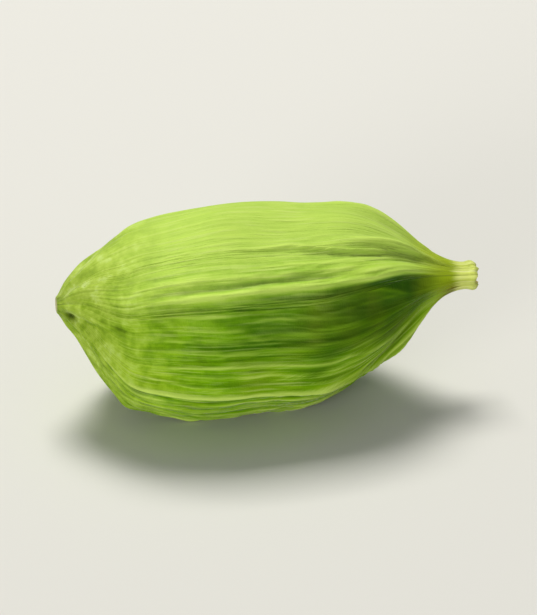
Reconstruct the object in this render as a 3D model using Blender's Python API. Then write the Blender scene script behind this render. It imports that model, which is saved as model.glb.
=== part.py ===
"""Builds a green cardamom pod: one closed ribbed husk that lies on its belly.

The pod lies along X, its stalk end at -X and its beak at +X. -Y is its front and z = 0 is what it rests on.
Angles round the pod are in degrees from the top towards the front. Lengths are in metres.
"""

import bmesh
import bpy
import numpy as np

MM = 0.001

# The outline from the stalk scar to the mouth of the stub, where the flower tube broke off:
# millimetres along the pod, the husk's radius, and the rings of faces up to the next point.
OUTLINE = (
    (0.30, 0.00, 1),
    (0.24, 0.20, 1),
    (0.00, 0.34, 1),
    (0.12, 0.48, 2),
    (0.95, 1.46, 2),
    (1.75, 2.44, 3),
    (2.75, 3.24, 3),
    (4.00, 3.66, 4),
    (5.60, 3.91, 4),
    (7.80, 3.88, 4),
    (10.0, 3.64, 4),
    (11.6, 3.18, 4),
    (12.9, 2.12, 3),
    (14.0, 1.22, 2),
    (15.0, 0.66, 1),
    (15.4, 0.52, 1),
    (15.9, 0.49, 1),
    (16.2, 0.54, 1),
    (16.3, 0.46, 1),
    (16.1, 0.30, 1),
    (15.9, 0.00, 0),
)
BELLY_END = 2.6
BEAK_START = 11.6
NECK_START = 14.2
STUB_START = 15.5

# The husk is three-angled, with a lesser angle in the middle of each side. So its section is a rounded
# six-sided one, given by the way each flat side faces and how far out it lies, as a share of the radius,
# and its three main angles stand out further.
SIDES = ((16, 0.99), (82, 0.99), (143, 0.97), (203, 0.97), (263, 0.98), (317, 0.98))
SIDE_SHARPNESS = 9
MAIN_ANGLE = 113
MAIN_ANGLE_SHARE = 0.022

# The main ridges and the grooves beside them, where height is below 0: the places that each runs through,
# in millimetres along the pod and degrees round it, its height, how far its flank reaches on the side
# towards the top and on the other, and where it begins and ends, all in millimetres.
RIDGES = (
    (((0, -20), (14, -20)), 0.14, 0.7, 0.7, 2.5, 13.5),
    (((5, 26), (9, 20), (14, 12)), 0.15, 1.0, 0.4, 6.0, 14.0),
    (((3, 50), (6, 51), (10, 47), (14, 45)), 0.26, 1.3, 0.5, 1.5, 14.0),
    (((3, 58), (6, 59), (10, 56), (14, 57)), -0.12, 0.5, 1.0, 2.5, 14.4),
    (((4, 92), (8.3, 94), (12, 93)), 0.16, 0.4, 0.5, 3.2, 11.0),
    (((2, 104), (4, 105), (7.5, 112), (9.5, 111), (11.2, 117), (14, 130)), 0.28, 0.8, 0.5, 1.2, 14.2),
    (((4, 116), (7.5, 124), (9.5, 123), (11.2, 129)), -0.10, 0.5, 0.9, 3.0, 13.0),
    (((0, 146), (14, 158)), 0.10, 0.7, 0.7, 4.0, 13.5),
    (((0, 182), (14, 190)), 0.10, 0.7, 0.7, 5.0, 13.5),
    (((0, 224), (14, 216)), 0.18, 0.7, 0.7, 2.0, 13.5),
    (((0, 262), (14, 254)), 0.16, 0.8, 0.5, 4.5, 13.5),
    (((0, 292), (14, 286)), 0.22, 1.0, 0.5, 1.8, 13.5),
    (((0, 318), (14, 316)), 0.10, 0.7, 0.7, 6.0, 13.5),
)
RIDGE_ROUNDING = 0.07

# The folds that the skin is drawn into at the beak: the angle of each, and its strength.
FOLDS = (
    (-20, 0.8), (13, 0.9), (46, 1.1), (88, 0.2), (130, 0.8), (158, 0.3),
    (190, 0.8), (216, 0.5), (254, 0.9), (286, 0.5), (316, 0.9),
)
FOLD_WIDTH = 0.24
FOLD_SPREAD = 11
BEAK_FOLD = 0.19
BEAK_SINK = 0.06

# The fine ribs between them run from end to end and fade at both.
RIBS = 34
RIB_HEIGHT = 0.19
RIB_ROUNDING = 0.10
RIB_REACH = 0.55
COLUMNS_PER_RIB = 4

# The ribs are lower on the side that lies up and on the front: the angle, how far from it, and how much.
CALM_SIDES = ((0, 48, 0.8), (74, 26, 0.5))

# Slow hollows and swellings where the skin has dried on to the seeds.
DENT_HEIGHT = 0.04
DENTS = 7

# The ends curve up off the surface, each between two places along the pod, and the belly is flattened
# where it rests.
STALK_LIFT = 0.92
BEAK_LIFT = 0.92
STALK_CURVE = (0.5, 2.7)
BEAK_CURVE = (9.3, 14.8)
SIDE_BOW = -0.12
REST_DEPTH = 0.16
REST_FADE = 0.30

HUSK_GREEN = (0.230, 0.410, 0.035)
HUSK_ROUGHNESS = 0.55


def clear_scene():
    for item in list(bpy.data.objects):
        bpy.data.objects.remove(item, do_unlink=True)


def fade_in(values, start, end):
    share = np.clip((values - start) / (end - start), 0, 1)
    return share * share * (3 - 2 * share)


def outline_rings():
    """Each ring's distance along the pod and radius, on a smooth curve through the outline's points."""
    points = np.array([point[:2] for point in OUTLINE])
    chords = np.linalg.norm(np.diff(points, axis=0), axis=1)[:, None]
    slopes = np.diff(points, axis=0) / chords
    inner = (slopes[:-1] * chords[1:] + slopes[1:] * chords[:-1]) / (chords[1:] + chords[:-1])
    tangents = np.vstack((slopes[:1], inner, slopes[-1:]))
    rings = []
    for index, (_, _, count) in enumerate(OUTLINE[:-1]):
        for share in np.arange(count) / count:
            rest = 1 - share
            leaving = rest * rest * share * chords[index] * tangents[index]
            arriving = rest * share * share * chords[index] * tangents[index + 1]
            start = rest * rest * (1 + 2 * share) * points[index]
            end = share * share * (1 + 2 * rest) * points[index + 1]
            rings.append(start + leaving + end - arriving)
    return np.array(rings[1:])


def ring_normals(rings):
    """The outward direction of the outline at each ring, along the pod and away from its axis."""
    steps = np.gradient(rings, axis=0)
    steps /= np.linalg.norm(steps, axis=1)[:, None]
    return -steps[:, 1], steps[:, 0]


def rib_angles(random):
    """Where the crest of each fine rib lies round the pod, not quite evenly."""
    step = 360 / RIBS
    return (np.arange(RIBS) + random.uniform(-0.22, 0.22, RIBS)) * step


def centre_line(along):
    """How far the pod's own axis lies to the back, and how far its ends curve up."""
    bow = SIDE_BOW * np.sin(2 * np.pi * along / STUB_START)
    stalk = STALK_LIFT * (1 - fade_in(along, *STALK_CURVE))
    beak = BEAK_LIFT * fade_in(along, *BEAK_CURVE)
    return bow, stalk + beak


def section(angle):
    """The radius of the six-sided section, as a share of the outline's."""
    inverse = 0
    for facing, distance in SIDES:
        lean = np.clip(np.cos(np.radians(angle - facing)), 0, 1)
        inverse = inverse + (lean / distance) ** SIDE_SHARPNESS
    return inverse ** (-1 / SIDE_SHARPNESS) + MAIN_ANGLE_SHARE * np.cos(3 * np.radians(angle - MAIN_ANGLE))


def angle_from(angle, crest):
    """How far round the pod an angle lies from a crest, from -180 to 180."""
    return (angle - crest + 180) % 360 - 180


def ridge_relief(along, radius, angle):
    """The main ridges and grooves: each has a narrow crest, with the skin drawn up to it on both sides."""
    relief = np.zeros_like(angle)
    for path, height, reach_up, reach_down, begins, ends in RIDGES:
        crest = np.interp(along, *zip(*path))
        away = np.radians(angle_from(angle, crest)) * radius * np.where(crest % 360 < 180, 1, -1)
        reach = np.where(away < 0, reach_up, reach_down)
        away = np.sqrt(away * away + RIDGE_ROUNDING**2)
        length = fade_in(along, begins - 1, begins + 1.5) * (1 - fade_in(along, ends - 2, ends + 0.5))
        relief += np.clip(1 - away / reach, 0, 1) ** 2 * height * length
    return relief


def fold_relief(along, radius, angle):
    """The folds at the beak, where the belly's skin is drawn in to the neck."""
    beak = fade_in(along, BEAK_START - 2, NECK_START - 0.6) * (1 - fade_in(along, NECK_START, STUB_START))
    spread = np.minimum(np.degrees(FOLD_WIDTH / np.maximum(radius, 0.3)), FOLD_SPREAD)
    folds = sum(np.exp(-((angle_from(angle, crest) / spread) ** 2)) * strength for crest, strength in FOLDS)
    return (BEAK_FOLD * folds - BEAK_SINK) * radius * beak


def calm_share(angle):
    """The share of their height that the ribs have on the calm sides."""
    share = 1
    for middle, spread, calm in CALM_SIDES:
        share = share * (1 - calm * np.exp(-((angle_from(angle, middle) / spread) ** 2)))
    return share


def rib_relief(along, column, height, start, end):
    """The fine ribs: a narrow crest on each rib line, with the skin hanging between crests like a cloth."""
    relief = np.zeros_like(column)
    for rib in range(RIBS):
        away = np.abs((column - rib + RIBS / 2) % RIBS - RIBS / 2)
        away = np.sqrt(away * away + RIB_ROUNDING**2)
        crest = np.clip(1 - away / RIB_REACH, 0, 1) ** 2
        length = fade_in(along, start[rib] - 1.2, start[rib] + 1.2)
        length = length * (1 - fade_in(along, end[rib] - 2, end[rib]))
        relief += crest * height[rib] * length
    return relief


def dent_relief(along, angle, random):
    """Slow waves over the husk, from a few crossing cosines."""
    relief = np.zeros_like(angle)
    for _ in range(DENTS):
        turns = random.integers(1, 6)
        pace = random.uniform(0.5, 1.6) * random.choice((-1, 1))
        shift = random.uniform(0, 2 * np.pi)
        relief += np.cos(turns * np.radians(angle) + pace * along + shift)
    return relief / np.sqrt(DENTS)


def husk_points():
    """The husk's surface points in metres, ring by ring, and its two end points."""
    random = np.random.default_rng(7)
    crests = rib_angles(random)
    heights = RIB_HEIGHT * random.uniform(0.45, 1.4, RIBS)
    starts = random.uniform(1.0, 3.8, RIBS)
    ends = random.uniform(13.0, 15.2, RIBS)

    rings = outline_rings()
    outward_along, outward_radius = ring_normals(rings)
    column = np.arange(RIBS * COLUMNS_PER_RIB) / COLUMNS_PER_RIB
    angle = np.interp(column, np.arange(RIBS + 1), np.append(crests, crests[0] + 360))
    along, column = np.meshgrid(rings[:, 0], column, indexing="ij")
    angle = np.broadcast_to(angle, along.shape)
    radius = np.broadcast_to(rings[:, 1:2], along.shape)
    outside = np.broadcast_to((outward_radius > -0.2)[:, None], along.shape)

    body = fade_in(along, 0.3, BELLY_END) * (1 - fade_in(along, BEAK_START, NECK_START)) * outside
    reach = radius * (1 + (section(angle) - 1) * body)
    bow, lift = centre_line(along)
    low = reach * np.cos(np.radians(angle)) + lift
    floor = np.min(low) + REST_DEPTH
    resting = 1 - fade_in(low - floor, 0, REST_FADE)

    relief = (ridge_relief(along, radius, angle) + fold_relief(along, radius, angle)) * outside
    relief += rib_relief(along, column, heights, starts, ends) * calm_share(angle) * outside
    relief += DENT_HEIGHT * dent_relief(along, angle, random) * body
    relief *= 1 - resting

    along_out = along + outward_along[:, None] * relief
    reach_out = reach + outward_radius[:, None] * relief
    turn = np.radians(angle)
    x = along_out
    y = bow - reach_out * np.sin(turn)
    z = np.maximum(lift + reach_out * np.cos(turn) - floor, 0)
    return np.stack((x, y, z), axis=2) * MM, floor * MM


def end_point(along, floor):
    bow, lift = centre_line(along)
    return (along * MM, bow * MM, lift * MM - floor)


def make_husk():
    """One closed skin: rings of faces between two end fans."""
    points, floor = husk_points()
    first = end_point(OUTLINE[0][0], floor)
    last = end_point(OUTLINE[-1][0], floor)
    corners = np.vstack((points.reshape(-1, 3), first, last))
    centre = (corners.min(axis=0) + corners.max(axis=0)) / 2
    shift = np.array((centre[0], centre[1], 0))

    shape = bmesh.new()
    rings = [[shape.verts.new(point - shift) for point in ring] for ring in points]
    for lower, upper in zip(rings[:-1], rings[1:]):
        for index in range(len(lower)):
            shape.faces.new((lower[index - 1], upper[index - 1], upper[index], lower[index]))
    for ring, end in ((rings[0][::-1], first), (rings[-1], last)):
        middle = shape.verts.new(np.array(end) - shift)
        for index in range(len(ring)):
            shape.faces.new((ring[index - 1], middle, ring[index]))
    bmesh.ops.recalc_face_normals(shape, faces=shape.faces)
    for face in shape.faces:
        face.smooth = True

    mesh = bpy.data.meshes.new("pod")
    shape.to_mesh(mesh)
    shape.free()
    pod = bpy.data.objects.new("pod", mesh)
    bpy.context.collection.objects.link(pod)
    return pod


def husk_material():
    """Dried husk: leaf green, with the low sheen of a papery skin."""
    material = bpy.data.materials.new("dried_husk")
    material.use_nodes = True
    shader = material.node_tree.nodes["Principled BSDF"]
    shader.inputs["Base Color"].default_value = (*HUSK_GREEN, 1)
    shader.inputs["Roughness"].default_value = HUSK_ROUGHNESS
    shader.inputs["Metallic"].default_value = 0
    return material


def main():
    clear_scene()
    pod = make_husk()
    pod.data.materials.append(husk_material())


main()
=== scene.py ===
"""Dresses the cardamom pod: the CAD pod's husk in finer faces, with its fibres, its creases and its colours.

Angles round the pod are in degrees from the top towards the front. Lengths are in millimetres until the
husk's points are placed, and in metres after that.
"""

import math
from types import SimpleNamespace

import bpy
import numpy as np
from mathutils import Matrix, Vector


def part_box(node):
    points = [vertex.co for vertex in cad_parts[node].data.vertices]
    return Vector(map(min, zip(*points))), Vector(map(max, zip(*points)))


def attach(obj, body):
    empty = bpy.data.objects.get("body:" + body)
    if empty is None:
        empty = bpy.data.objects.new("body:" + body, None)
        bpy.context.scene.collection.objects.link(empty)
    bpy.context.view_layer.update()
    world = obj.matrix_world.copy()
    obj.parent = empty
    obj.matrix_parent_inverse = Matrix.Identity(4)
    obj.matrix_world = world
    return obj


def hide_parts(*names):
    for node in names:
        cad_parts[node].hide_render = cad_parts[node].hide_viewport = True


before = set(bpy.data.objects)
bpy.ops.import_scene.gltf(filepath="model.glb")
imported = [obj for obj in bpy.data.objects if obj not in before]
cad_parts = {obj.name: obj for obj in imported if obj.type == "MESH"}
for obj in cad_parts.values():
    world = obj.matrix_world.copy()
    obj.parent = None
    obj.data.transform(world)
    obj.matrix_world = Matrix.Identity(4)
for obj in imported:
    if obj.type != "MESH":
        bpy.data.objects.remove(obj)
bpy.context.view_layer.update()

MM = 0.001

# The outline from the stalk scar to the mouth of the stub, where the flower tube broke off:
# millimetres along the pod, the husk's radius, and the rings of faces up to the next point.
OUTLINE = (
    (0.16, 0.00, 3),
    (0.12, 0.18, 3),
    (0.00, 0.28, 3),
    (0.10, 0.40, 7),
    (0.75, 1.18, 5),
    (1.25, 1.84, 7),
    (1.85, 2.55, 8),
    (2.75, 3.26, 9),
    (4.00, 3.66, 11),
    (5.60, 3.91, 14),
    (7.80, 3.88, 14),
    (10.0, 3.65, 11),
    (11.6, 3.20, 7),
    (12.5, 2.74, 7),
    (13.4, 2.04, 7),
    (14.2, 1.28, 6),
    (15.0, 0.76, 4),
    (15.4, 0.58, 5),
    (15.9, 0.50, 4),
    (16.2, 0.54, 3),
    (16.3, 0.45, 3),
    (16.14, 0.31, 3),
    (15.95, 0.00, 0),
)

# Where the parts of the pod begin, in millimetres along it; the body's relief comes in over a stretch.
BODY_START = (0.3, 2.6)
BEAK_START = 11.6
NECK_START = 14.2
STUB_START = 15.5

# The husk is three-angled, with a lesser angle in the middle of each side. So its section is a rounded
# six-sided one, given by the way each flat side faces and how far out it lies, as a share of the radius,
# and its three main angles stand out further.
SIDES = ((16, 0.99), (82, 0.99), (143, 0.97), (203, 0.97), (263, 0.98), (317, 0.98))
SIDE_SHARPNESS = 9
MAIN_ANGLE = 113
MAIN_ANGLE_SHARE = 0.022

# The mid ridge of the front, from the stalk end to the beak, and the groove under it: millimetres along the
# pod, degrees round it.
MID_RIDGE = (
    (2, 52), (4, 51.2), (6, 51.1), (7.5, 50), (9, 50.2), (10.7, 50), (12, 52.2), (13.2, 51.6), (14.6, 53),
)
MID_GROOVE = ((3, 57), (5.2, 56), (9, 54.5), (11.6, 56), (12.6, 57), (13.9, 62), (14.6, 84))

# The main ridges and the grooves beside them, where height is below 0: the places that each runs through,
# in millimetres along the pod and degrees round it, its height, how far its flank reaches on the side
# towards the top and on the other, and where it begins and ends, all in millimetres.
RIDGES = (
    # On the top
    (((0, -20), (14, -20)), 0.14, 0.7, 0.7, 2.5, 13.5),
    # The upper crest of the front, the groove under it, and a low line between that and the mid ridge
    (((6, 26), (8.9, 22), (11.2, 29), (12.3, 30.4), (14.7, 21)), 0.16, 0.8, 0.17, 7.5, 14.4),
    (((8, 28), (8.9, 27), (11.2, 31), (12.3, 33.4), (13.3, 35.5), (14.6, 46)), -0.05, 0.15, 0.4, 8.5, 14.6),
    (((7.8, 36), (9.7, 37), (11.3, 38.5), (12.2, 37), (13.2, 38)), 0.05, 0.5, 0.3, 7.0, 13.4),
    # The mid ridge, higher towards the beak, between its two grooves
    (
        ((3.5, 47.5), (6.5, 47.5), (7.5, 46), (9.8, 45.5), (10.9, 46.8), (12, 48.8), (13, 47)),
        -0.17, 0.5, 0.22, 3.6, 14.4,
    ),
    (MID_RIDGE, 0.10, 0.55, 0.28, 3.6, 15.2),
    (MID_RIDGE, 0.09, 0.6, 0.2, 9.0, 15.0),
    (MID_GROOVE, -0.02, 0.2, 0.5, 3.4, 14.6),
    (MID_GROOVE[2:], -0.07, 0.2, 0.8, 9.8, 14.6),
    # The crease that runs down from the stalk end's tip
    (((0.5, 96), (0.85, 89), (1.25, 81), (1.6, 76), (2.1, 68), (3, 62)), -0.17, 0.35, 0.9, 0.2, 2.8),
    # The front face, with its broad hollow towards the beak
    (((4, 60), (6.4, 61), (8.6, 66), (11, 66.5), (12.9, 71.5), (13.7, 75)), 0.06, 0.25, 0.3, 3.5, 13.4),
    (((7.5, 73), (9.8, 73.2), (11, 75.5), (12.2, 80.5), (13.5, 84)), -0.06, 0.35, 0.3, 6.5, 13.0),
    (((3.6, 77), (5.2, 78.4), (6.2, 80), (7.5, 81.5), (10, 82), (12, 90)), -0.09, 0.5, 0.3, 3.4, 12.5),
    (((9.5, 62), (11.2, 66), (12.5, 76), (13.5, 88), (14.3, 100)), -0.22, 1.5, 1.5, 9.5, 14.4),
    (((3.6, 87), (6.2, 87), (7.4, 88.8), (8.4, 90)), -0.05, 0.4, 0.12, 3.4, 8.0),
    # The fine line over the lower ridge, and that ridge, which is the pod's lower main angle
    (
        ((3, 93), (4.4, 90), (6.2, 89.6), (7.3, 91.2), (9.7, 95.2), (10.9, 97.6), (12.1, 105), (13.4, 112)),
        0.12, 0.18, 0.3, 3.4, 14.2,
    ),
    (((8.4, 99), (9.7, 101.7), (10.9, 104.5), (12.1, 109.5)), -0.06, 0.3, 0.3, 7.5, 13.5),
    (
        (
            (3, 106), (5.2, 106.1), (8, 109), (9.4, 111.5), (10.6, 116),
            (11.4, 122), (12.3, 132), (13.2, 138), (14.2, 140),
        ),
        0.24, 0.55, 0.35, 1.6, 15.0,
    ),
    (((3.6, 99), (5.2, 102.5), (6.2, 103.2), (7.3, 105.5)), 0.07, 0.5, 0.12, 3.6, 8.0),
    (((4, 114), (7.5, 119), (9.5, 122), (11.2, 136)), -0.10, 0.5, 0.9, 3.0, 12.0),
    # The underside and the back
    (((0, 146), (14, 158)), 0.10, 0.7, 0.7, 4.0, 13.5),
    (((0, 182), (14, 190)), 0.10, 0.7, 0.7, 5.0, 13.5),
    (((0, 224), (14, 216)), 0.18, 0.7, 0.7, 2.0, 13.5),
    (((0, 262), (14, 254)), 0.16, 0.8, 0.5, 4.5, 13.5),
    (((0, 292), (14, 286)), 0.22, 1.0, 0.4, 1.8, 13.5),
    (((0, 318), (14, 316)), 0.10, 0.7, 0.7, 6.0, 13.5),
)
RIDGE_ROUNDING = 0.035

# A ridge rises between the first two of these, from where it begins, and is gone between the last two, from
# where it ends.
RIDGE_FADES = (-1, 1.5, -2, 0.5)

# Relief gets narrower and lower where the husk's radius is below this one, and the ridges by this power.
FULL_RADIUS = 3
RIDGE_TAPER = 0.7

# The folds that the skin is drawn into at the beak: the angle of each, and its strength. A fold is so many
# millimetres wide, and no more than so many degrees. Its height is a share of the husk's radius.
FOLDS = (
    (-20, 0.8), (20, 0.9), (47, 0.9), (88, 0.2), (138, 0.8), (165, 0.3),
    (190, 0.8), (216, 0.5), (254, 0.9), (286, 0.5), (316, 0.9),
)
FOLD_WIDTH = 0.24
FOLD_SPREAD = 11
LEAST_FOLD_RADIUS = 0.3
FOLD_START = (9.6, 13.6)
BEAK_FOLD = 0.16
BEAK_SINK = 0.06

# The ribs between the ridges run from end to end and fade at both. Each strays from its even place by a
# share of the space between two, and has its own share of the height, its own start and its own end.
SEED = 7
RIBS = 34
RIB_HEIGHT = 0.17
RIB_ROUNDING = 0.05
RIB_REACH = 0.55
RIB_STRAY = 0.33
RIB_HEIGHT_SHARES = (0.15, 1.5)
RIB_STARTS = (1.0, 3.8)
RIB_ENDS = (13.0, 15.2)
RIB_START_FADE = 1.2
RIB_END_FADE = 2
COLUMNS_PER_RIB = 20
RIB_SPACING = 0.72

# Slow hollows and swellings where the skin has dried on to the seeds: how many waves cross, how often each
# goes round the pod, and how fast it turns along it, in radians a millimetre.
DENT_HEIGHT = 0.04
DENTS = 7
DENT_TURNS = (1, 6)
DENT_PACES = (0.5, 1.6)

# The ribs are lower on the top and on the front, and lower still at the front of the beak: the angle, how
# far from it, and how much lower.
CALM_SIDES = ((0, 48, 0.8), (84, 34, 0.85))
CALM_BEAK = (80, 45, 0.6)
CALM_BEAK_START = (9.5, 12.0)

# The ribs of the front turn down on their way to the beak, by so many degrees over this stretch. They do so
# fully between the two middle angles, and not at all beyond the outer two.
SWEEP = 18
SWEEP_LENGTH = (3.5, 13.3)
SWEEP_SIDES = (40, 92, 125, 175)
MOST_SWEEP = 1.1

# A rib line strays to both sides by this share of the space between two, from so many crossing waves.
WANDER = 0.045
WANDERS = 6
WANDER_TURNS = (1, 7)
WANDER_LENGTHS = (4.5, 12)

# A rib's crest rises and sinks along it by this share, in waves of these lengths.
CREST_CHANGE = 0.3
CREST_WAVES = (5.3, 3.1, 1.9, 1.2)
CREST_TURNS = (5, 17)

# Lesser ribs that leave one rib and join it again, or its neighbour.
BRANCHES = 70
BRANCH_HEIGHT = 0.09
BRANCH_HEIGHT_SHARES = (0.5, 1.3)
BRANCH_ROUNDING = 0.07
BRANCH_REACH = 0.3
BRANCH_TURN = 1.6
BRANCH_FADE = 1
BRANCH_STARTS = (1.6, 9.0)
BRANCH_LENGTHS = (3.2, 7.0)

# Fibres between the ribs: how many to a rib, how fast they lean, in radians a millimetre, and how long the
# waves are in which they come and go, and how often those go round the pod. A cosine's size is 1 / EVEN_OUT
# on the mean, so that fibres in these units raise the skin as much as they sink it.
FIBRE_HEIGHT = 0.055
FIBRES = 26
FIBRES_TO_A_RIB = (1.0, 4.5)
FIBRE_LEAN = 0.4
FIBRE_LENGTHS = (2, 7)
FIBRE_TURNS = (1, 5)
EVEN_OUT = 1.57

# Short creases across the husk: how long their waves are, how often those go round the pod, and how often
# the patches do that have them. They are fainter on the belly.
CREASE_HEIGHT = 0.010
CREASES = 12
CREASE_LENGTHS = (0.6, 1.3)
CREASE_TURNS = (2, 9)
CREASE_PATCHES = (2, 7)
BELLY_CREASES = 0.3
BELLY_START = (1.5, 4)
BELLY_END = (11, 13.5)

# Puckers round the stalk scar, how far they stray from their even places, in radians of their wave, and the
# slower wave over them: its share, how often it goes round the pod, and its shift in radians.
PUCKER_HEIGHT = 0.06
PUCKERS = 9
PUCKER_STRAY = 1.5
PUCKER_SWELL = (0.6, 4, 2)
PUCKER_START = (0.02, 0.5)
PUCKER_END = (0.9, 2.2)

# The pit in the skin beside the scar: millimetres along the pod, degrees round it, its size and its depth.
PIT = (0.4, 101, 0.15)
PIT_DEPTH = 0.10

# The fluted sides of the stub, like the puckers with a wave over them, and its torn edge, where two waves
# cross: how often each goes round the pod, and its shift in radians.
FLUTES = 7
FLUTE_HEIGHT = 0.035
FLUTE_STRAY = 1.3
FINE_FLUTES = (0.5, 12, 1)
TORN_EDGE = 0.09
TORN_WAVES = ((5, 1), (3, 2))
TORN_END = 16.2

# The scar and the mouth are where the outline faces the pod's axis: relief ends at the first of these
# shares, and the colour of broken tissue comes in from the last pair's end to its start.
INWARD = -0.2
BROKEN = (-0.6, 0.2)

# What counts as a crest, a groove and a hollow: how far round the pod the skin's height is compared, in
# columns of faces, and the difference that makes a whole one. Grooves and hollows get painted shade.
CREST_LOOK = (5, 0.035)
GROOVE_SHADE_LOOK = (14, 0.09)
HOLLOW_SHADE_LOOK = (60, 0.40)

# Where the skin is painted deeper green as shade. The front face has this painted shade between two edges,
# in
# degrees below the mid ridge: its upper edge is sharper at the beak, and its lower one is higher where the
# rim runs below it. A band of painted light lies near the upper edge, and the belly's lower half is painted
# lighter too. The underside has half of the painted shade, in degrees round the pod: the angle, how far from
# it, and how much.
FACE_TOP = (-0.5, 5)
FACE_TOP_AT_BEAK = (-0.5, 3)
FACE_FOOT = (60, 75)
FACE_FOOT_AT_RIM = (36, 56)
FACE_SHADE = 0.85
LIGHT_BAND = (11, 7, 0.45)
LIGHT_BELLY = (26, 52)
UNDERSIDE_SHADE = (215, 40, 0.5)

# Where these change, in millimetres along the pod: the beak's painted shade and the rim come in, most of the
# rim goes out again, the belly's painted light half ends, and all of the painted shade starts at one end and
# ends at the other.
BEAK_SHADE = (9, 12)
RIM_START = (8, 11)
RIM_END = (11.6, 13)
RIM_LOSS = 0.55
BELLY_LIGHT_END = (8, 11)
SHADE_START = (1.5, 9)
SHADE_END = (14.1, 15.4)

# The ends curve up off the surface, each between two places along the pod, the pod bows a little to its
# back and front, and its belly is flattened where it rests.
STALK_LIFT = 0.88
BEAK_LIFT = 0.92
STALK_CURVE = (0.5, 2.7)
BEAK_CURVE = (9.3, 14.6)
SIDE_BOW = -0.12
REST_DEPTH = 0.16
REST_FADE = 0.30

# The sizes of the husk's patterns: strands and hairs, which are drawn out along the pod to this share of
# their pace round it, the skin's cells, its mottles, its uneven patches, its blotches and its specks.
STRAND_WIDTH = 0.3
STRAND_PACE = 0.07
HAIR_WIDTH = 0.1
HAIR_PACE = 0.05
CELL_WIDTH = 0.06
MOTTLE_WIDTH = 0.45
PATCH_WIDTH = 0.7
BLOTCH_WIDTH = 2.5
SPECK_SPACING = 1.1
GRAIN_HEIGHT = 0.04
HALFWAY = 8.0

# The view, in degrees, pixels and metres: the photo's size, where its camera stands, how wide a view the
# picture takes in, and the lights and the floor.
PHOTO_WIDTH = 537
PHOTO_HEIGHT = 615
CAMERA_AZIMUTH = -8
CAMERA_ELEVATION = 30
CAMERA_DISTANCE = 0.5
VIEW_WIDTH = 0.0205
LIGHT_DISTANCE = 0.35
LIGHT_SIDE = 0.14
LIGHT_TINT = "#FFFDF6"
FLOOR_SIDE = 2.0


def fade_in(values, start, end):
    share = np.clip((values - start) / (end - start), 0, 1)
    return share * share * (3 - 2 * share)


def outline_rings():
    """Each ring's distance along the pod and radius, on a smooth curve through the outline's points."""
    points = np.array([point[:2] for point in OUTLINE])
    chords = np.linalg.norm(np.diff(points, axis=0), axis=1)[:, None]
    slopes = np.diff(points, axis=0) / chords
    inner = (slopes[:-1] * chords[1:] + slopes[1:] * chords[:-1]) / (chords[1:] + chords[:-1])
    tangents = np.vstack((slopes[:1], inner, slopes[-1:]))
    rings = []
    for index, (_, _, count) in enumerate(OUTLINE[:-1]):
        for share in np.arange(count) / count:
            rest = 1 - share
            leaving = rest * rest * share * chords[index] * tangents[index]
            arriving = rest * share * share * chords[index] * tangents[index + 1]
            start = rest * rest * (1 + 2 * share) * points[index]
            end = share * share * (1 + 2 * rest) * points[index + 1]
            rings.append(start + leaving + end - arriving)
    return np.array(rings[1:])


def ring_normals(rings):
    """The outward direction of the outline at each ring, along the pod and away from its axis."""
    steps = np.gradient(rings, axis=0)
    steps /= np.linalg.norm(steps, axis=1)[:, None]
    return -steps[:, 1], steps[:, 0]


def rib_angles(random):
    """Where the crest of each rib lies round the pod, not quite evenly."""
    step = 360 / RIBS
    return (np.arange(RIBS) + random.uniform(-RIB_STRAY, RIB_STRAY, RIBS)) * step


def centre_line(along):
    """How far the pod's own axis lies to the back, and how far its ends curve up."""
    bow = SIDE_BOW * np.sin(2 * np.pi * along / STUB_START)
    stalk = STALK_LIFT * (1 - fade_in(along, *STALK_CURVE))
    beak = BEAK_LIFT * fade_in(along, *BEAK_CURVE)
    return bow, stalk + beak


def section(angle):
    """The radius of the six-sided section, as a share of the outline's."""
    inverse = 0
    for facing, distance in SIDES:
        lean = np.clip(np.cos(np.radians(angle - facing)), 0, 1)
        inverse = inverse + (lean / distance) ** SIDE_SHARPNESS
    return inverse ** (-1 / SIDE_SHARPNESS) + MAIN_ANGLE_SHARE * np.cos(3 * np.radians(angle - MAIN_ANGLE))


def angle_from(angle, crest):
    """How far round the pod an angle lies from a crest, from -180 to 180."""
    return (angle - crest + 180) % 360 - 180


def ridge_relief(along, radius, angle):
    """The main ridges and grooves: each has a narrow crest, with the skin drawn up to it on both sides.

    They get narrower and lower as the pod tapers.
    """
    relief = np.zeros_like(angle)
    narrowing = np.minimum(radius / FULL_RADIUS, 1) ** RIDGE_TAPER
    low, full, fading, gone = RIDGE_FADES
    for path, height, reach_up, reach_down, begins, ends in RIDGES:
        crest = np.interp(along, *zip(*path))
        away = np.radians(angle_from(angle, crest)) * radius * np.where(crest % 360 < 180, 1, -1)
        reach = np.where(away < 0, reach_up, reach_down) * narrowing
        away = np.sqrt(away * away + RIDGE_ROUNDING**2)
        length = fade_in(along, begins + low, begins + full)
        length = length * (1 - fade_in(along, ends + fading, ends + gone))
        relief += np.clip(1 - away / reach, 0, 1) ** 2 * height * length * narrowing
    return relief


def fold_relief(along, radius, angle):
    """The folds at the beak, where the belly's skin is drawn in to the neck."""
    beak = fade_in(along, *FOLD_START) * (1 - fade_in(along, NECK_START, STUB_START))
    spread = np.minimum(np.degrees(FOLD_WIDTH / np.maximum(radius, LEAST_FOLD_RADIUS)), FOLD_SPREAD)
    folds = sum(np.exp(-((angle_from(angle, crest) / spread) ** 2)) * strength for crest, strength in FOLDS)
    return (BEAK_FOLD * folds - BEAK_SINK) * radius * beak


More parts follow.
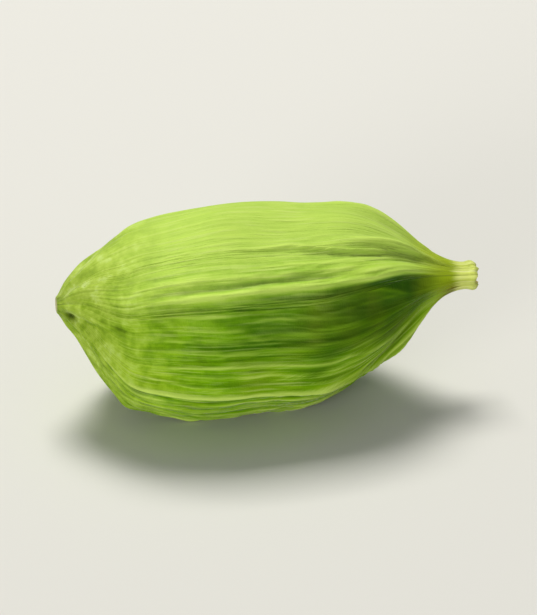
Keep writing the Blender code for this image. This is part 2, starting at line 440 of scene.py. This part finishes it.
def rib_relief(along, column, height, start, end):
    """The ribs: a narrow crest on each rib line, with the skin hanging between crests like a cloth."""
    relief = np.zeros_like(column)
    for rib in range(RIBS):
        away = np.abs((column - rib + RIBS / 2) % RIBS - RIBS / 2)
        away = np.sqrt(away * away + RIB_ROUNDING**2)
        crest = np.clip(1 - away / RIB_REACH, 0, 1) ** 2
        length = fade_in(along, start[rib] - RIB_START_FADE, start[rib] + RIB_START_FADE)
        length = length * (1 - fade_in(along, end[rib] - RIB_END_FADE, end[rib]))
        relief += crest * height[rib] * length
    return relief


def dent_relief(along, angle, random):
    """Slow waves over the husk, from a few crossing cosines."""
    relief = np.zeros_like(angle)
    for _ in range(DENTS):
        turns = random.integers(*DENT_TURNS)
        pace = random.uniform(*DENT_PACES) * random.choice((-1, 1))
        shift = random.uniform(0, 2 * np.pi)
        relief += np.cos(turns * np.radians(angle) + pace * along + shift)
    return relief / np.sqrt(DENTS)


def rib_sweep(along, angle):
    """How far the front's ribs have turned down from the mid ridge on their way to the beak, in ribs."""
    high, full, fading, low = SWEEP_SIDES
    start, end = SWEEP_LENGTH
    front = fade_in(angle, high, full) * (1 - fade_in(angle, fading, low))
    share = np.clip((along - start) / (end - start), 0, MOST_SWEEP) ** 2
    return SWEEP * RIBS / 360 * share * front


def rib_wander(along, turn, random):
    """How far a rib line strays to the side on its way along the pod, in ribs. Neighbours stray together."""
    stray = np.zeros_like(turn)
    for _ in range(WANDERS):
        turns = random.integers(*WANDER_TURNS)
        wave = random.uniform(*WANDER_LENGTHS)
        shift = random.uniform(0, 2 * np.pi)
        stray += np.cos(turns * turn + 2 * np.pi * along / wave + shift)
    return WANDER * stray / np.sqrt(WANDERS)


def crest_share(along, turn, random):
    """How high a rib's crest stands at each place, as a share of its full height."""
    change = np.zeros_like(turn)
    for wave in CREST_WAVES:
        turns = random.integers(*CREST_TURNS)
        shift = random.uniform(0, 2 * np.pi)
        change += np.cos(turns * turn + 2 * np.pi * along / wave + shift)
    return 1 + CREST_CHANGE * change / np.sqrt(len(CREST_WAVES))


def calm_share(along, angle):
    """The share of their height that the ribs have on the calm sides, and at the beak."""
    share = 1
    for middle, spread, calm in CALM_SIDES:
        share = share * (1 - calm * np.exp(-((angle_from(angle, middle) / spread) ** 2)))
    middle, spread, calm = CALM_BEAK
    near = np.exp(-((angle_from(angle, middle) / spread) ** 2))
    return share * (1 - calm * near * fade_in(along, *CALM_BEAK_START))


def between(first, second, share):
    """The pair of values that lies this share of the way from one pair to another."""
    return [start + (end - start) * share for start, end in zip(first, second)]


def painted_shade_share(along, angle):
    """How much painted shade the skin has, as deeper green: most under the mid ridge, with the whole front
    face towards the beak.
    """
    below = angle_from(angle, np.interp(along, *zip(*MID_RIDGE)))
    beak = fade_in(along, *BEAK_SHADE)
    rim = fade_in(along, *RIM_START) * (1 - RIM_LOSS * fade_in(along, *RIM_END))
    front = fade_in(below, *between(FACE_TOP, FACE_TOP_AT_BEAK, beak))
    front = front * (1 - fade_in(below, *between(FACE_FOOT, FACE_FOOT_AT_RIM, rim)))
    middle, spread, loss = LIGHT_BAND
    lighter = loss * np.exp(-(((below - middle) / spread) ** 2)) * (1 - beak)
    front = front * (FACE_SHADE + (1 - FACE_SHADE) * beak - lighter)
    belly = fade_in(below, *LIGHT_BELLY) * (1 - fade_in(along, *BELLY_LIGHT_END))
    middle, spread, most = UNDERSIDE_SHADE
    underside = most * np.exp(-((angle_from(angle, middle) / spread) ** 2))
    length = fade_in(along, *SHADE_START) * (1 - fade_in(along, *SHADE_END))
    return (front * (1 - belly) + underside) * length


def branch_relief(along, line, random):
    """The lesser ribs, each from its start on a rib to where it joins that rib again or the next."""
    relief = np.zeros_like(line)
    for _ in range(BRANCHES):
        rib = random.integers(RIBS)
        start = random.uniform(*BRANCH_STARTS)
        end = start + random.uniform(*BRANCH_LENGTHS)
        side = random.choice((-1, 1))
        back_or_over = random.choice((-1, 1))
        height = BRANCH_HEIGHT * random.uniform(*BRANCH_HEIGHT_SHARES)
        leaving = fade_in(along, start, start + BRANCH_TURN)
        joining = fade_in(along, end - BRANCH_TURN, end)
        path = rib + 0.5 * side * (leaving + back_or_over * joining)
        away = np.abs((line - path + RIBS / 2) % RIBS - RIBS / 2)
        crest = np.clip(1 - np.sqrt(away * away + BRANCH_ROUNDING**2) / BRANCH_REACH, 0, 1) ** 2
        length = fade_in(along, start, start + BRANCH_FADE) * (1 - fade_in(along, end - BRANCH_FADE, end))
        relief = np.maximum(relief, crest * height * length)
    return relief


def fibre_relief(along, turn, random):
    """The fibres between the ribs: many fine crests round the pod, each of which comes and goes along it."""
    relief = np.zeros_like(turn)
    for _ in range(FIBRES):
        turns = round(RIBS * random.uniform(*FIBRES_TO_A_RIB))
        lean = random.uniform(-FIBRE_LEAN, FIBRE_LEAN)
        shift, start = random.uniform(0, 2 * np.pi, 2)
        wave = random.uniform(*FIBRE_LENGTHS)
        strength = np.cos(2 * np.pi * along / wave + start + random.integers(*FIBRE_TURNS) * turn)
        fibre = 1 - np.abs(np.cos(turns * turn + lean * along + shift)) * EVEN_OUT
        relief += fibre * np.clip(strength, 0, 1)
    return relief / np.sqrt(FIBRES)


def crease_relief(along, turn, random):
    """Short creases across the husk, where it has dried and drawn in towards its ends."""
    relief = np.zeros_like(turn)
    for _ in range(CREASES):
        wave = random.uniform(*CREASE_LENGTHS)
        turns = random.integers(*CREASE_TURNS)
        shift, start = random.uniform(0, 2 * np.pi, 2)
        patch = np.clip(np.cos(random.integers(*CREASE_PATCHES) * turn + along + start), 0, 1)
        relief += np.cos(2 * np.pi * along / wave + turns * turn + shift) * patch
    belly = fade_in(along, *BELLY_START) * (1 - fade_in(along, *BELLY_END))
    return relief * (1 - (1 - BELLY_CREASES) * belly) / np.sqrt(CREASES)


def pucker_relief(along, angle):
    """The skin's puckers round the stalk scar, which die out before the belly."""
    turn = np.radians(angle)
    share, turns, shift = PUCKER_SWELL
    folds = np.cos(PUCKERS * turn + PUCKER_STRAY * np.sin(turn)) + share * np.cos(turns * turn + shift)
    return PUCKER_HEIGHT * folds * fade_in(along, *PUCKER_START) * (1 - fade_in(along, *PUCKER_END))


def pit_share(along, radius, angle):
    """The small pit beside the stalk scar, where the skin is broken: 1 in its middle."""
    place, facing, size = PIT
    round_the_pod = np.radians(angle_from(angle, facing)) * radius
    return np.exp(-((along - place) ** 2 + round_the_pod**2) / size**2)


def stub_relief(along, angle):
    """The stub's sides, fluted by the fibres that end in it."""
    turn = np.radians(angle)
    share, turns, shift = FINE_FLUTES
    flutes = np.cos(FLUTES * turn + FLUTE_STRAY * np.sin(2 * turn)) + share * np.cos(turns * turn + shift)
    return FLUTE_HEIGHT * flutes * fade_in(along, NECK_START, STUB_START)


def above_neighbours(relief, reach, span):
    """How far each point stands out from the skin around it: 1 for a height of one span, and no more."""
    steps = range(-reach, reach + 1)
    around = sum(np.roll(relief, step, axis=1) for step in steps) / len(steps)
    return np.clip((relief - around) / span, 0, 1)


def husk_surface():
    """The husk's points, and the values that its colours follow, by name."""
    random = np.random.default_rng(SEED)
    crests = rib_angles(random)
    heights = RIB_HEIGHT * random.uniform(*RIB_HEIGHT_SHARES, RIBS)
    starts = random.uniform(*RIB_STARTS, RIBS)
    ends = random.uniform(*RIB_ENDS, RIBS)

    rings = outline_rings()
    outward_along, outward_radius = ring_normals(rings)
    column = np.arange(RIBS * COLUMNS_PER_RIB) / COLUMNS_PER_RIB
    angle = np.interp(column, np.arange(RIBS + 1), np.append(crests, crests[0] + 360))
    along, column = np.meshgrid(rings[:, 0], column, indexing="ij")
    angle = np.broadcast_to(angle, along.shape)
    radius = np.broadcast_to(rings[:, 1:2], along.shape)
    outside = np.broadcast_to((outward_radius > INWARD)[:, None], along.shape)
    turn = column * 2 * np.pi / RIBS

    body = fade_in(along, *BODY_START) * (1 - fade_in(along, BEAK_START, NECK_START)) * outside
    reach = radius * (1 + (section(angle) - 1) * body)
    bow, lift = centre_line(along)
    low = reach * np.cos(np.radians(angle)) + lift
    floor = np.min(low) + REST_DEPTH
    resting = 1 - fade_in(low - floor, 0, REST_FADE)

    dents = DENT_HEIGHT * dent_relief(along, angle, random) * body
    line = column + rib_wander(along, turn, random) * body - rib_sweep(along, angle)
    calm = calm_share(along, angle)
    share = crest_share(along, turn, random) * calm
    narrowing = np.minimum(radius / FULL_RADIUS, 1)
    ridges = ridge_relief(along, radius, angle) + fold_relief(along, radius, angle)
    ribs = rib_relief(along, line, heights, starts, ends) * share
    branches = branch_relief(along, line, random) * np.sqrt(calm) * narrowing
    pit = pit_share(along, radius, angle) * outside
    lines = (ridges + ribs + branches) * outside - PIT_DEPTH * pit
    fibres = FIBRE_HEIGHT * fibre_relief(along, line * 2 * np.pi / RIBS, random) * narrowing * np.sqrt(calm)
    creases = CREASE_HEIGHT * crease_relief(along, turn, random) * narrowing
    puckers = pucker_relief(along, angle) * outside
    relief = (lines + dents + fibres + creases + puckers) * (1 - resting)
    relief = relief + stub_relief(along, angle) * outside

    torn = TORN_EDGE
    for turns, shift in TORN_WAVES:
        torn = torn * np.cos(turns * np.radians(angle) + shift)
    torn = torn * fade_in(along, STUB_START, TORN_END)
    reach_out = reach + outward_radius[:, None] * relief
    x = along + outward_along[:, None] * relief + torn
    y = bow - reach_out * np.sin(np.radians(angle))
    z = np.maximum(lift + reach_out * np.cos(np.radians(angle)) - floor, 0)
    points = np.stack((x, y, z), axis=2)

    girth = RIBS * RIB_SPACING / (2 * np.pi)
    turn = line * 2 * np.pi / RIBS
    grain = np.stack((girth * np.cos(turn), girth * np.sin(turn), along), axis=2)
    inside = np.broadcast_to(1 - fade_in(outward_radius, *BROKEN)[:, None], along.shape)
    crest = above_neighbours(lines + fibres, *CREST_LOOK)
    # Painted shade: the grooves between the lines and the broad hollows beside the ridges are darkened
    groove = above_neighbours(-lines - fibres, *GROOVE_SHADE_LOOK)
    groove = np.maximum(groove, above_neighbours(-ridges * outside, *HOLLOW_SHADE_LOOK))
    # Painted shade: the front face under the mid ridge and the underside are painted deeper green
    depth = painted_shade_share(along, angle)
    return points, grain, {"crest": crest, "groove": groove, "inside": inside, "pit": pit, "depth": depth}


def fit_to_box(points, low, high):
    """The points moved into the CAD pod's box, which takes up the hair's breadth that finer faces add."""
    start, end = points.min(axis=0), points.max(axis=0)
    share = (points - start) / (end - start)
    return np.array(low) + share * (np.array(high) - np.array(low))


def keep_on_points(mesh, name, kind, values):
    """Stores values on the mesh's points, under a name that its material reads."""
    layer = mesh.attributes.new(name, kind, "POINT")
    field = "value" if kind == "FLOAT" else "vector"
    layer.data.foreach_set(field, np.asarray(values, dtype=np.float32).ravel())


def add_bake_map(mesh, rings, columns):
    """Unrolls the skin on to one sheet, round the pod from side to side and along it from bottom to top."""
    outline = np.vstack((OUTLINE[0][:2], outline_rings(), OUTLINE[-1][:2]))
    length = np.cumsum(np.linalg.norm(np.diff(outline, axis=0), axis=1))
    place = length / length[-1]
    ring, column = np.meshgrid(np.arange(rings - 1), np.arange(columns), indexing="ij")
    sides = np.stack((column + 1, column + 1, column, column), axis=2) / columns
    ends = np.stack((place[ring], place[ring + 1], place[ring + 1], place[ring]), axis=2)
    walls = np.stack((sides, ends), axis=3).reshape(-1, 2)
    column = np.arange(columns)
    sides = np.stack((column + 0.5, column + 1, column), axis=1) / columns
    first = np.stack((sides, np.broadcast_to((0, place[0], place[0]), sides.shape)), axis=2)
    last = np.stack((sides[:, (0, 2, 1)], np.broadcast_to((1, place[-2], place[-2]), sides.shape)), axis=2)
    sheet = np.vstack((walls, first.reshape(-1, 2), last.reshape(-1, 2)))
    mesh.uv_layers.new(name="OFBake").uv.foreach_set("vector", sheet.astype(np.float32).ravel())


def make_husk(low, high):
    """One closed skin of the husk's rings, with a fan of faces over each end."""
    points, grain, looks = husk_surface()
    rings, columns, _ = points.shape
    first = points[0].mean(axis=0)
    last = points[-1].mean(axis=0)
    corners = np.vstack((points.reshape(-1, 3), first, last))

    index = np.arange(rings * columns).reshape(rings, columns)
    before = np.roll(index, 1, axis=1)
    walls = np.stack((index[:-1], index[1:], before[1:], before[:-1]), axis=2).reshape(-1, 4)
    fans = [(rings * columns, a, b) for a, b in zip(index[0], before[0])]
    fans += [(rings * columns + 1, b, a) for a, b in zip(index[-1], before[-1])]
    mesh = bpy.data.meshes.new("husk")
    mesh.from_pydata(fit_to_box(corners, low, high).tolist(), [], walls.tolist() + fans)
    mesh.shade_smooth()

    add_bake_map(mesh, rings, columns)
    for name, values in looks.items():
        keep_on_points(mesh, name, "FLOAT", np.append(values, (values[0].mean(), values[-1].mean())))
    middles = np.stack((grain[0].mean(axis=0), grain[-1].mean(axis=0)))
    keep_on_points(mesh, "grain", "FLOAT_VECTOR", np.vstack((grain.reshape(-1, 3), middles)))

    husk = bpy.data.objects.new("husk", mesh)
    bpy.context.scene.collection.objects.link(husk)
    return husk


def colour(hex_value):
    """An sRGB hex colour as the linear colour that shaders take."""
    parts = [int(hex_value[start : start + 2], 16) / 255 for start in (1, 3, 5)]
    linear = [part / 12.92 if part <= 0.04045 else ((part + 0.055) / 1.055) ** 2.4 for part in parts]
    return (*linear, 1)


def set_input(tree, socket, value):
    """Gives an input a value, a node's output, or a node, which stands for its first output."""
    if isinstance(value, bpy.types.Node):
        value = next(output for output in value.outputs if output.enabled)
    if isinstance(value, bpy.types.NodeSocket):
        tree.links.new(value, socket)
    else:
        socket.default_value = value


def add_node(tree, kind, inputs=None, stops=(), **settings):
    """Adds a node with its settings, its inputs by their name or place, and its ramp's stops."""
    node = tree.nodes.new(kind)
    for name, value in settings.items():
        setattr(node, name, value)
    for place, value in (inputs or {}).items():
        named = [socket for socket in node.inputs if socket.name == place and socket.enabled]
        set_input(tree, named[0] if named else node.inputs[place], value)
    for index, (place, shade) in enumerate(stops):
        ramp = node.color_ramp.elements
        element = ramp[index] if index < len(ramp) else ramp.new(place)
        element.position = place
        element.color = colour(shade)
    return node


def husk_patterns(tree):
    """What the husk's look follows: the values kept on its points, and patterns that run along its grain."""
    kept = {}
    for name in ("crest", "groove", "inside", "depth", "pit"):
        kept[name] = add_node(tree, "ShaderNodeAttribute", attribute_name=name).outputs["Fac"]
    grain = add_node(tree, "ShaderNodeAttribute", attribute_name="grain").outputs["Vector"]
    place = add_node(tree, "ShaderNodeSeparateXYZ", {"Vector": grain})
    look = SimpleNamespace(grain=grain, upward=place.outputs["X"], along=place.outputs["Z"], **kept)

    strand_space = add_node(
        tree, "ShaderNodeVectorMath", {0: grain, 1: (1, 1, STRAND_PACE)}, operation="MULTIPLY"
    )
    look.strands = add_node(
        tree,
        "ShaderNodeTexNoise",
        {"Vector": strand_space, "Scale": 1 / STRAND_WIDTH, "Detail": 3, "Roughness": 0.6},
    )
    hair_space = add_node(
        tree, "ShaderNodeVectorMath", {0: grain, 1: (1, 1, HAIR_PACE)}, operation="MULTIPLY"
    )
    look.hairs = add_node(
        tree, "ShaderNodeTexNoise", {"Vector": hair_space, "Scale": 1 / HAIR_WIDTH, "Detail": 2}
    )
    look.blotches = add_node(
        tree, "ShaderNodeTexNoise", {"Vector": grain, "Scale": 1 / BLOTCH_WIDTH, "Detail": 3}
    )
    look.mottles = add_node(
        tree,
        "ShaderNodeTexNoise",
        {"Vector": grain, "Scale": 1 / MOTTLE_WIDTH, "Detail": 4, "Roughness": 0.65},
    )
    solid = add_node(tree, "ShaderNodeTexCoord").outputs["Object"]
    look.patches = add_node(
        tree,
        "ShaderNodeTexNoise",
        {"Vector": solid, "Scale": 1 / (PATCH_WIDTH * MM), "Detail": 3, "Roughness": 0.6},
    )
    return look


def green_skin(tree, look):
    """Greens from deep to pale, with painted shade in the grooves and on the front face, under an upper side
    painted paler as lit from above, with straw-coloured hairs and crests that are partly paler and partly
    painted highlight.
    """
    # The stalk end has dried unevenly, and the belly less so
    uneven_share = add_node(
        tree, "ShaderNodeMapRange", {"Value": look.along, "From Min": 7.5, "From Max": 1.5}
    )
    patchy = add_node(
        tree,
        "ShaderNodeMapRange",
        {"Value": look.patches, "From Min": 0.35, "From Max": 0.65, "To Min": -0.24, "To Max": 0.24},
    )

    # Painted shade darkens the grooves, the hollows and the front face, and the skin between the grooves is
    # lighter, with the strands and hairs over both
    tone = add_node(tree, "ShaderNodeMath", {0: look.strands, 1: 0.9, 2: 0.15}, operation="MULTIPLY_ADD")
    tone = add_node(tree, "ShaderNodeMath", {0: look.hairs, 1: 0.5, 2: tone}, operation="MULTIPLY_ADD")
    tone = add_node(tree, "ShaderNodeMath", {0: look.groove, 1: -0.4, 2: tone}, operation="MULTIPLY_ADD")
    tone = add_node(tree, "ShaderNodeMath", {0: look.depth, 1: -0.62, 2: tone}, operation="MULTIPLY_ADD")
    tone = add_node(tree, "ShaderNodeMath", {0: patchy, 1: uneven_share, 2: tone}, operation="MULTIPLY_ADD")
    green = add_node(
        tree,
        "ShaderNodeValToRGB",
        {"Fac": tone},
        stops=((0.1, "#2C5800"), (0.4, "#4A7A00"), (0.7, "#74A704"), (1.0, "#9AC624")),
    )
    yellowed = add_node(
        tree,
        "ShaderNodeMapRange",
        {"Value": look.blotches, "From Min": 0.45, "From Max": 0.7, "To Max": 0.15},
    )
    yellow = colour("#AFB52E")
    skin = add_node(tree, "ShaderNodeMix", {0: yellowed, "A": green, "B": yellow}, data_type="RGBA")

    # Painted light: the upper side is paler, as where light from above falls, with an uneven edge, but not
    # on the face with painted shade
    blotched = add_node(tree, "ShaderNodeMath", {0: look.mottles, 1: look.strands})
    height = add_node(
        tree, "ShaderNodeMath", {0: blotched, 1: 1.5, 2: look.upward}, operation="MULTIPLY_ADD"
    )
    painted_top_light = add_node(
        tree,
        "ShaderNodeMapRange",
        {"Value": height, "From Min": 2.6, "From Max": 5.6, "To Max": 0.75},
        interpolation_type="SMOOTHSTEP",
    )
    unshaded_share = add_node(tree, "ShaderNodeMapRange", {"Value": look.depth, "To Min": 1.0, "To Max": 0.05})
    painted_top_light = add_node(tree, "ShaderNodeMath", {0: painted_top_light, 1: unshaded_share}, operation="MULTIPLY")
    top_light_colour = colour("#C2DD66")
    skin = add_node(tree, "ShaderNodeMix", {0: painted_top_light, "A": skin, "B": top_light_colour}, data_type="RGBA")

    # Single hairs have dried to straw
    dried = add_node(
        tree, "ShaderNodeMapRange", {"Value": look.hairs, "From Min": 0.52, "From Max": 0.72, "To Max": 0.35}
    )
    dried = add_node(tree, "ShaderNodeMath", {0: dried, 1: unshaded_share}, operation="MULTIPLY")
    straw = colour("#D3E08A")
    skin = add_node(tree, "ShaderNodeMix", {0: dried, "A": skin, "B": straw}, data_type="RGBA")

    # The crests are paler, partly their own colour and partly a painted highlight, and not all along; on the
    # face with painted shade they stay deeper
    crest_stretches = add_node(tree, "ShaderNodeMapRange", {"Value": look.strands, "From Min": 0.35, "From Max": 0.55})
    pale_lit_crests = add_node(tree, "ShaderNodeMath", {0: look.crest, 1: crest_stretches}, operation="MULTIPLY")
    pale_lit_crests = add_node(tree, "ShaderNodeMath", {0: pale_lit_crests, 1: 0.9}, operation="MULTIPLY")
    light, crest_in_shade = colour("#C8E36A"), colour("#7CAA10")
    pale = add_node(tree, "ShaderNodeMix", {0: look.depth, "A": light, "B": crest_in_shade}, data_type="RGBA")
    return add_node(tree, "ShaderNodeMix", {0: pale_lit_crests, "A": skin, "B": pale}, data_type="RGBA")


def with_coloured_ends(tree, look, skin):
    """The skin with its yellower ends, each with an uneven edge, the stub, and the scar and the mouth."""
    uneven = add_node(tree, "ShaderNodeMath", {0: look.blotches, 1: 2.4, 2: -1.2}, operation="MULTIPLY_ADD")
    edge = add_node(tree, "ShaderNodeMath", {0: look.along, 1: uneven})

    # The stalk end is mottled, with painted shade darkening its creases
    stalk_end = add_node(
        tree,
        "ShaderNodeMapRange",
        {"Value": edge, "From Min": 4.4, "From Max": 0.8, "To Max": 0.8},
        interpolation_type="SMOOTHSTEP",
    )
    crease_shaded_mottle = add_node(
        tree, "ShaderNodeMath", {0: look.groove, 1: -0.35, 2: look.patches}, operation="MULTIPLY_ADD"
    )
    mottled = add_node(
        tree,
        "ShaderNodeValToRGB",
        {"Fac": crease_shaded_mottle},
        stops=((0.2, "#5C7812"), (0.42, "#8CA82C"), (0.55, "#A9C04A"), (0.68, "#C6DA80")),
    )
    skin = add_node(tree, "ShaderNodeMix", {0: stalk_end, "A": skin, "B": mottled}, data_type="RGBA")

    # The neck is yellow-green, and brown on its underside before the stub
    neck = add_node(
        tree,
        "ShaderNodeMapRange",
        {"Value": edge, "From Min": 13.4, "From Max": 15.2, "To Max": 0.8},
        interpolation_type="SMOOTHSTEP",
    )
    yellow_green = colour("#A9BE16")
    skin = add_node(tree, "ShaderNodeMix", {0: neck, "A": skin, "B": yellow_green}, data_type="RGBA")
    under = add_node(tree, "ShaderNodeMapRange", {"Value": look.upward, "From Min": 2.3, "From Max": 0.2})
    late = add_node(
        tree, "ShaderNodeMapRange", {"Value": edge, "From Min": 14.3, "From Max": 15.0, "To Max": 0.8}
    )
    brown_underside = add_node(tree, "ShaderNodeMath", {0: under, 1: late}, operation="MULTIPLY")
    brown = colour("#6A5A14")
    skin = add_node(tree, "ShaderNodeMix", {0: brown_underside, "A": skin, "B": brown}, data_type="RGBA")

    # The stub is straw, and the green frays out into it in strands
    frayed = add_node(
        tree, "ShaderNodeMath", {0: look.strands, 1: 0.9, 2: look.along}, operation="MULTIPLY_ADD"
    )
    frayed = add_node(tree, "ShaderNodeMath", {0: frayed, 1: 0.45}, operation="SUBTRACT")
    stub = add_node(
        tree,
        "ShaderNodeMapRange",
        {"Value": frayed, "From Min": 15.25, "From Max": 15.7},
        interpolation_type="SMOOTHSTEP",
    )
    straw = add_node(
        tree,
        "ShaderNodeValToRGB",
        {"Fac": look.strands},
        stops=((0.3, "#CEDA5C"), (0.5, "#E6F27A"), (0.7, "#F4FAAE")),
    )
    skin = add_node(tree, "ShaderNodeMix", {0: stub, "A": skin, "B": straw}, data_type="RGBA")

    # The scar is pale cork at one end of the pod, and the mouth torn brown fibre at the other
    mouth = add_node(tree, "ShaderNodeMath", {0: look.along, 1: HALFWAY}, operation="GREATER_THAN")
    torn = add_node(
        tree,
        "ShaderNodeValToRGB",
        {"Fac": look.hairs},
        stops=((0.3, "#B4964E"), (0.5, "#DCC47C"), (0.7, "#F4EAB4")),
    )
    cork = colour("#E6DFAE")
    broken = add_node(tree, "ShaderNodeMix", {0: mouth, "A": cork, "B": torn}, data_type="RGBA")
    return add_node(tree, "ShaderNodeMix", {0: look.inside, "A": skin, "B": broken}, data_type="RGBA")


def with_specks(tree, look, skin):
    """The skin with dark specks of 0.1 mm, nearly all of them at the stalk end, and the dark pit there."""
    spots = add_node(tree, "ShaderNodeTexVoronoi", {"Vector": look.grain, "Scale": 1 / SPECK_SPACING})
    near = add_node(
        tree, "ShaderNodeMapRange", {"Value": spots.outputs["Distance"], "From Min": 0.11, "From Max": 0.05}
    )
    limit = add_node(
        tree,
        "ShaderNodeMapRange",
        {"Value": look.along, "From Min": 0.5, "From Max": 1.2, "To Min": 0.5, "To Max": 1.0},
    )
    draw = spots.outputs["Color"]
    chosen = add_node(tree, "ShaderNodeMath", {0: draw, 1: limit}, operation="GREATER_THAN")
    speck = add_node(tree, "ShaderNodeMath", {0: near, 1: chosen}, operation="MULTIPLY")
    speck = add_node(tree, "ShaderNodeMath", {0: speck, 1: 0.75}, operation="MULTIPLY")
    brown, dark = colour("#5C4A16"), colour("#3C4C0E")
    skin = add_node(tree, "ShaderNodeMix", {0: speck, "A": skin, "B": brown}, data_type="RGBA")
    return add_node(tree, "ShaderNodeMix", {0: look.pit, "A": skin, "B": dark}, data_type="RGBA")


def add_fine_grain(tree, look, shader):
    """Raises the strands, the hairs and the skin's cells a little, and makes the strands duller."""
    cells = add_node(
        tree, "ShaderNodeTexNoise", {"Vector": look.grain, "Scale": 1 / CELL_WIDTH, "Detail": 1}
    )
    height = add_node(tree, "ShaderNodeMath", {0: look.strands, 1: look.hairs})
    height = add_node(tree, "ShaderNodeMath", {0: cells, 1: 0.35, 2: height}, operation="MULTIPLY_ADD")
    raised = add_node(
        tree, "ShaderNodeBump", {"Strength": 1.0, "Distance": GRAIN_HEIGHT * MM, "Height": height}
    )
    set_input(tree, shader.inputs["Normal"], raised)
    dull = add_node(tree, "ShaderNodeMapRange", {"Value": look.strands, "To Min": 0.6, "To Max": 0.85})
    set_input(tree, shader.inputs["Roughness"], dull)


def dried_husk():
    """Green cardamom husk, a fruit skin dried in warm air.

    The eye sees pale yellow-green crests, partly painted highlight, over grooves darkened by painted shade,
    fine strands along the pod, a papery surface with a low sheen, yellower ends, and a straw-coloured stub
    with a torn brown mouth.
    """
    material = bpy.data.materials.new("dried_cardamom_husk")
    material.use_nodes = True
    tree = material.node_tree
    shader = tree.nodes["Principled BSDF"]

    look = husk_patterns(tree)
    skin = green_skin(tree, look)
    skin = with_coloured_ends(tree, look, skin)
    skin = with_specks(tree, look, skin)
    set_input(tree, shader.inputs["Base Color"], skin)
    add_fine_grain(tree, look, shader)

    # Dry plant fibre reflects little, and pales a little where the eye grazes it
    shader.inputs["IOR"].default_value = 1.45
    shader.inputs["Specular IOR Level"].default_value = 0.08
    shader.inputs["Sheen Weight"].default_value = 0.3
    shader.inputs["Sheen Roughness"].default_value = 0.25
    shader.inputs["Sheen Tint"].default_value = colour("#EEF3D8")
    return material


def pale_board():
    """Matt painted board: a plain pale ground that gives back soft light."""
    material = bpy.data.materials.new("matt_painted_board")
    material.use_nodes = True
    shader = material.node_tree.nodes["Principled BSDF"]
    shader.inputs["Base Color"].default_value = colour("#D9D8D4")
    shader.inputs["Roughness"].default_value = 0.9
    return material


def make_floor():
    mesh = bpy.data.meshes.new("floor")
    side = FLOOR_SIDE / 2
    corners = [(-side, -side, 0), (side, -side, 0), (side, side, 0), (-side, side, 0)]
    mesh.from_pydata(corners, [], [(0, 1, 2, 3)])
    mesh.materials.append(pale_board())
    floor = bpy.data.objects.new("floor", mesh)
    bpy.context.scene.collection.objects.link(floor)
    return floor


def direction(azimuth, elevation):
    """The unit vector from the pod to a place at this azimuth and elevation; azimuth 0 is the front."""
    turn, rise = math.radians(azimuth), math.radians(elevation)
    return Vector((math.sin(turn) * math.cos(rise), -math.cos(turn) * math.cos(rise), math.sin(rise)))


def aim(thing, target, towards, distance):
    """Puts a light or the camera at a distance from its target, looking at it."""
    thing.location = target + towards * distance
    thing.rotation_euler = (-towards).to_track_quat("-Z", "Y").to_euler()
    bpy.context.scene.collection.objects.link(thing)


def add_soft_light(name, target, azimuth, elevation, power):
    lamp = bpy.data.lights.new(name, "AREA")
    lamp.size = LIGHT_SIDE
    lamp.energy = power
    lamp.color = colour(LIGHT_TINT)[:3]
    light = bpy.data.objects.new(name, lamp)
    light.visible_camera = False
    aim(light, target, direction(azimuth, elevation), LIGHT_DISTANCE)


def light_studio(target):
    """Soft light from above and behind, as in the photo, and a weaker one from the front on the left."""
    add_soft_light("top_light", target, azimuth=-175, elevation=64, power=1.2)
    add_soft_light("front_light", target, azimuth=-40, elevation=10, power=0.62)
    world = bpy.data.worlds.new("studio")
    world.use_nodes = True
    background = world.node_tree.nodes["Background"]
    background.inputs["Color"].default_value = colour("#F2F4F5")
    background.inputs["Strength"].default_value = 0.25
    bpy.context.scene.world = world


def place_camera(target):
    """The photo looks down on the pod from 30 degrees, and along it a little from its stalk end."""
    lens = bpy.data.cameras.new("camera")
    lens.sensor_fit = "VERTICAL"
    lens.lens = lens.sensor_height * CAMERA_DISTANCE / (VIEW_WIDTH * PHOTO_HEIGHT / PHOTO_WIDTH)
    lens.clip_start = 0.01
    camera = bpy.data.objects.new("camera", lens)
    aim(camera, target, direction(CAMERA_AZIMUTH, CAMERA_ELEVATION), CAMERA_DISTANCE)
    bpy.context.scene.camera = camera


low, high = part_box("pod")
husk = make_husk(low, high)
husk.data.materials.append(dried_husk())
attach(husk, "root")
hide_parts("pod")
make_floor()

middle = (low + high) / 2
light_studio(middle)
place_camera(middle)
bpy.context.scene.view_settings.view_transform = "Standard"
